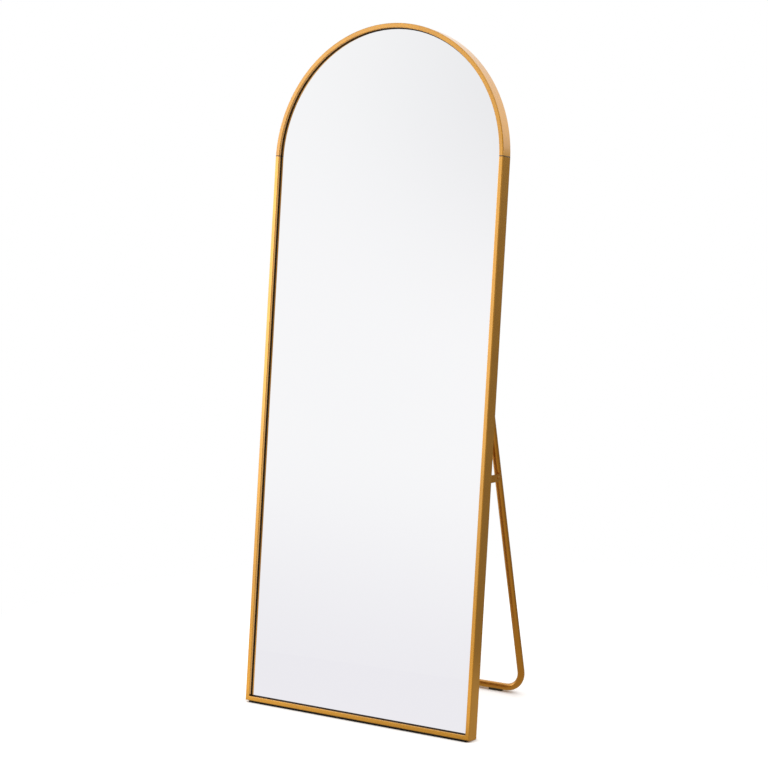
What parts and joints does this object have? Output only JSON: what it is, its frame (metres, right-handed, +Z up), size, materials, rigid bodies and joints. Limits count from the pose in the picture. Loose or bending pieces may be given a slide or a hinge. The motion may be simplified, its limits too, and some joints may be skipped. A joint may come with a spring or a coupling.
{
  "type": "leaning floor mirror",
  "caption": "Arched full-length floor mirror in a slim gold aluminium frame, leaning back against its own folding U-shaped tube stand held open by two folding side stays.",
  "frame": {"origin": "on the floor, at the middle of the footprint of the mirror with its stand open", "axes": "+Z up, -Y the way the mirror faces, +X to the right of the mirror's back-to-front centre plane as seen by someone standing in front of it"},
  "size_m": [0.7, 0.4191, 1.7837],
  "materials": {
    "gold_frame": "satin gold anodised",
    "gold_steel": "satin gold paint",
    "silvered_glass": "polished",
    "black_seal": "matt",
    "clear_film": "satin",
    "foam": "matt",
    "board": "raw fibreboard",
    "zinc": "zinc plated",
    "key_metal": "die cast",
    "black_rubber": "matt",
    "black_nylon": "satin",
    "white_nylon": "satin"
  },
  "bodies": {
    "frame": {"frame_arch": "gold_frame", "left_stile": "gold_frame", "right_stile": "gold_frame", "bottom_rail": "gold_frame", "key_grub_screws": "zinc", "glass_seal": "black_seal", "mirror_glass": "silvered_glass", "safety_film": "clear_film", "foam_sheet": "foam", "back_board": "board", "board_clips": "zinc", "board_clip_screws": "zinc", "stand_rail": "gold_steel", "stay_rail": "gold_steel", "cross_rail_screws": "zinc", "wall_hanger_screws": "zinc", "anti_slip_strip": "black_rubber", "stand_bracket_screws": "zinc", "stay_bracket_screws": "zinc", "left_arch_key": "key_metal", "right_arch_key": "key_metal", "left_corner_key": "key_metal", "right_corner_key": "key_metal", "left_wall_hanger": "zinc", "right_wall_hanger": "zinc", "left_stand_bracket": "gold_steel", "right_stand_bracket": "gold_steel", "left_pivot_bolt": "zinc", "right_pivot_bolt": "zinc", "left_pivot_nut": "zinc", "right_pivot_nut": "zinc", "left_pivot_washers": "zinc", "right_pivot_washers": "zinc", "left_stay_bracket": "gold_steel", "right_stay_bracket": "gold_steel", "left_frame_rivet": "gold_steel", "right_frame_rivet": "gold_steel", "left_stand_bumper": "black_rubber", "right_stand_bumper": "black_rubber"},
    "stand": {"stand_tube": "gold_steel", "left_tube_plug": "black_nylon", "right_tube_plug": "black_nylon", "left_pivot_bush": "white_nylon", "right_pivot_bush": "white_nylon", "left_foot_glide": "black_nylon", "right_foot_glide": "black_nylon", "left_stay_lug": "gold_steel", "right_stay_lug": "gold_steel", "left_leg_rivet": "gold_steel", "right_leg_rivet": "gold_steel"},
    "right front stay": {"right_front_stay": "gold_steel", "right_elbow_rivet_head": "gold_steel"},
    "right rear stay": {"right_rear_stay": "gold_steel", "right_elbow_rivet_tail": "gold_steel"},
    "left front stay": {"left_front_stay": "gold_steel", "left_elbow_rivet_head": "gold_steel"},
    "left rear stay": {"left_rear_stay": "gold_steel", "left_elbow_rivet_tail": "gold_steel"}
  },
  "joints": [
    {"name": "stand_fold", "type": "hinge", "parent": "frame", "child": "stand", "pos_m": [0, 0.01377, 1.0592], "axis": [-1, 0, 0], "range_deg": [0, 19.1]},
    {"name": "right_front_stay_fold", "type": "hinge", "parent": "frame", "child": "right front stay", "pos_m": [0.2815, -0.07435, 0.6307], "axis": [1, 0, 0], "range_deg": [0, 86.32]},
    {"name": "right_rear_stay_fold", "type": "hinge", "parent": "stand", "child": "right rear stay", "pos_m": [0.2815, 0.0722, 0.61709], "axis": [-1, 0, 0], "range_deg": [0, 74.61]},
    {"name": "left_front_stay_fold", "type": "hinge", "parent": "frame", "child": "left front stay", "pos_m": [-0.2815, -0.07435, 0.6307], "axis": [1, 0, 0], "range_deg": [0, 86.32]},
    {"name": "left_rear_stay_fold", "type": "hinge", "parent": "stand", "child": "left rear stay", "pos_m": [-0.2815, 0.0722, 0.61709], "axis": [-1, 0, 0], "range_deg": [0, 74.61]}
  ],
  "couplings": [
    {"joint": "right_front_stay_fold", "follows": "stand_fold", "ratio": 4.5186},
    {"joint": "right_rear_stay_fold", "follows": "stand_fold", "ratio": 3.9054},
    {"joint": "left_front_stay_fold", "follows": "stand_fold", "ratio": 4.5186},
    {"joint": "left_rear_stay_fold", "follows": "stand_fold", "ratio": 3.9054}
  ]
}
